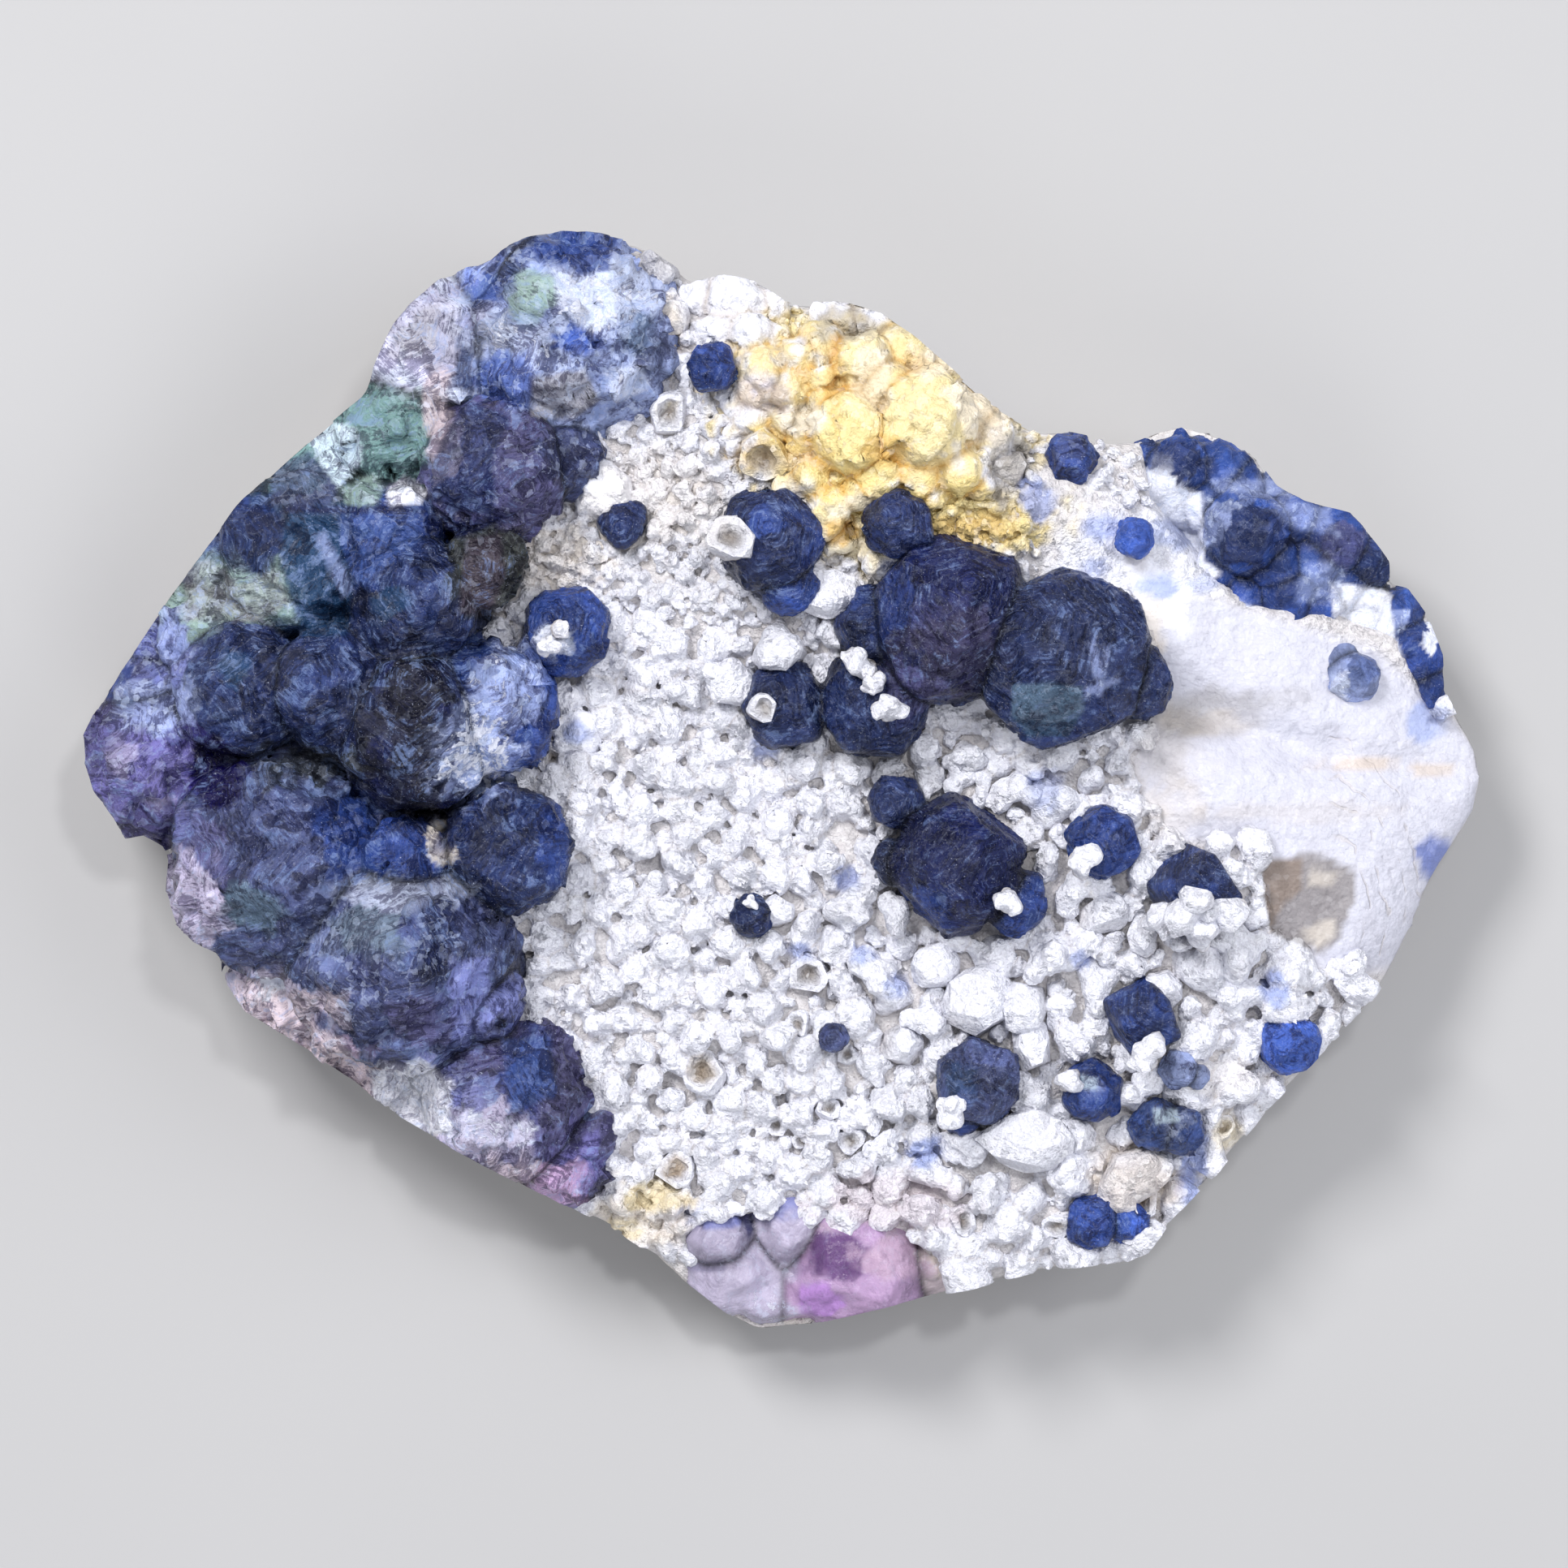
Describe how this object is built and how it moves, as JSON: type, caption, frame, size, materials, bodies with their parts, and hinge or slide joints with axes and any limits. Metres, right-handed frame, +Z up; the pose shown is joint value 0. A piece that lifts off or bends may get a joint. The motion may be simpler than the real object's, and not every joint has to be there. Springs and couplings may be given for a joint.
{
  "type": "botryoidal fluorite specimen",
  "caption": "Mineral specimen: blue and purple botryoidal fluorite balls and crusts on a knobby white quartz matrix, lying on its flat broken back.",
  "frame": {"origin": "middle of the specimen's box, on its flat broken back", "axes": "+X along the specimen's length (the picture's right), +Y across it (the picture's top), +Z up out of the crystal side"},
  "size_m": [0.0864, 0.068, 0.0213],
  "materials": {
    "white_quartz": "knobby white quartz and chalcedony, waxy to sugary, with yellow and grey stains",
    "blue_fluorite": "dark navy fluorite, satin, with fine stepped growth faces",
    "pale_blue_fluorite": "paler blue fluorite, satin",
    "purple_fluorite": "translucent lilac to purple fluorite, glossy"
  },
  "bodies": {
    "root": {"matrix": "white_quartz", "paired_balls": "blue_fluorite", "middle_ball": "blue_fluorite", "ringed_ball": "blue_fluorite", "top_ball": "blue_fluorite", "ball_by_hollow_grain": "blue_fluorite", "half_buried_ball": "blue_fluorite", "pointed_crystal": "blue_fluorite", "ball_by_smooth_face": "blue_fluorite", "lower_ball": "blue_fluorite", "glassy_ball": "blue_fluorite", "glassy_ball_low": "blue_fluorite", "edge_ball": "blue_fluorite", "bottom_crystals": "blue_fluorite", "small_ball_middle": "blue_fluorite", "small_ball_low": "blue_fluorite", "trefoil_ball": "blue_fluorite", "rim_ball": "blue_fluorite", "cube_corner_upper": "blue_fluorite", "cube_corner_lower": "blue_fluorite", "fluorite_crust_left": "blue_fluorite", "fluorite_crust_right": "pale_blue_fluorite", "patch_ball": "pale_blue_fluorite", "pale_ball_right": "pale_blue_fluorite", "purple_mass": "purple_fluorite"}
  },
  "joints": []
}
